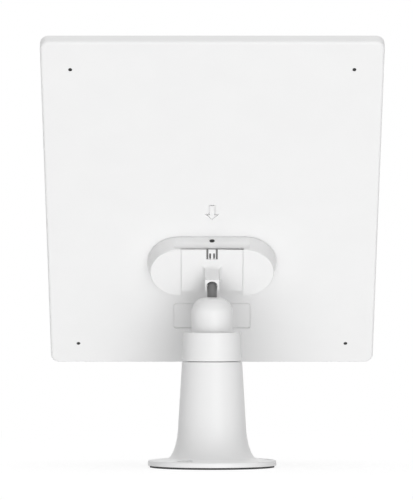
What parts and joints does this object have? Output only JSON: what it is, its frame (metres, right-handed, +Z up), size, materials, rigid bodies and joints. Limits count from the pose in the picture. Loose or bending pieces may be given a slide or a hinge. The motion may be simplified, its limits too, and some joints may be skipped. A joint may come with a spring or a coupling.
{
  "type": "solar panel charger",
  "caption": "Small white solar panel on a round-footed stand; the panel slides off its bracket plate, tilts on a hinge and turns on a neck that a collar clamps.",
  "frame": {"origin": "middle of the underside of the foot pad, on the post's axis", "axes": "+Z up along the post; +Y toward the side that the solar cells face; +X to the right when looking at the panel's back"},
  "size_m": [0.155, 0.1213, 0.1966],
  "materials": {
    "white_plastic": "fine satin moulding",
    "label_film": "satin film, blank",
    "cover_glass": "clear",
    "silicon_cell": "dark blue silicon",
    "tinned_ribbon": "tinned",
    "laminate_board": "white laminate",
    "circuit_board": "green solder mask",
    "dark_package": "moulded package",
    "zinc_steel": "zinc plated",
    "black_foam": "closed-cell foam",
    "gland_rubber": "matt",
    "pad_rubber": "matt",
    "dark_stem": "satin dark grey",
    "nylon": "natural nylon"
  },
  "bodies": {
    "stand": {"post_body": "white_plastic", "clamp_ring": "nylon", "thrust_washer": "nylon", "base_plate": "zinc_steel", "base_screw_1": "zinc_steel", "base_screw_2": "zinc_steel", "base_screw_3": "zinc_steel", "foot_pad": "pad_rubber"},
    "collar": {"clamp_collar": "white_plastic"},
    "swivel": {"swivel_neck": "white_plastic", "tilt_stem": "dark_stem", "retainer_washer": "zinc_steel", "retainer_screw": "zinc_steel"},
    "bracket": {"slide_plate": "white_plastic", "hinge_pin": "zinc_steel"},
    "latch": {"release_latch": "white_plastic"},
    "panel": {"rear_shell": "white_plastic", "cover_sheet": "cover_glass", "solar_cell_1": "silicon_cell", "solar_cell_2": "silicon_cell", "solar_cell_3": "silicon_cell", "solar_cell_4": "silicon_cell", "solar_cell_5": "silicon_cell", "solar_cell_6": "silicon_cell", "solar_cell_7": "silicon_cell", "solar_cell_8": "silicon_cell", "solar_cell_9": "silicon_cell", "solar_cell_10": "silicon_cell", "solar_cell_11": "silicon_cell", "solar_cell_12": "silicon_cell", "cell_ribbon_1": "tinned_ribbon", "cell_ribbon_2": "tinned_ribbon", "cell_ribbon_3": "tinned_ribbon", "cell_ribbon_4": "tinned_ribbon", "cell_ribbon_5": "tinned_ribbon", "cell_ribbon_6": "tinned_ribbon", "backing_board": "laminate_board", "perimeter_seal": "black_foam", "panel_lead_1": "tinned_ribbon", "panel_lead_2": "tinned_ribbon", "mount_housing": "white_plastic", "housing_screw_1": "zinc_steel", "housing_screw_2": "zinc_steel", "housing_screw_3": "zinc_steel", "housing_screw_4": "zinc_steel", "regulator_board": "circuit_board", "power_inductor": "dark_package", "smoothing_capacitor": "zinc_steel", "blocking_diode": "dark_package", "controller_chip": "dark_package", "cable_gland": "gland_rubber", "label_plate": "label_film"}
  },
  "joints": [
    {"name": "collar_turn", "type": "hinge", "parent": "stand", "child": "collar", "pos_m": [0, 0, 0.0562], "axis": [0, 0, 1], "range_deg": [0, 120]},
    {"name": "neck_pan", "type": "hinge", "parent": "stand", "child": "swivel", "pos_m": [0, 0, 0.058], "axis": [0, 0, 1], "continuous": true},
    {"name": "panel_tilt", "type": "hinge", "parent": "swivel", "child": "bracket", "pos_m": [0, 0, 0.0849], "axis": [1, 0, 0], "range_deg": [-30, 51]},
    {"name": "latch_lift", "type": "hinge", "parent": "bracket", "child": "latch", "pos_m": [0, -0.00045, 0.09817], "axis": [1, 0, 0], "range_deg": [0, 10], "stiffness_Nm_per_rad": 0.02},
    {"name": "panel_slide", "type": "slide", "parent": "bracket", "child": "panel", "axis": [0, -0.6293, 0.7771], "range_m": [0, 0.03]}
  ]
}
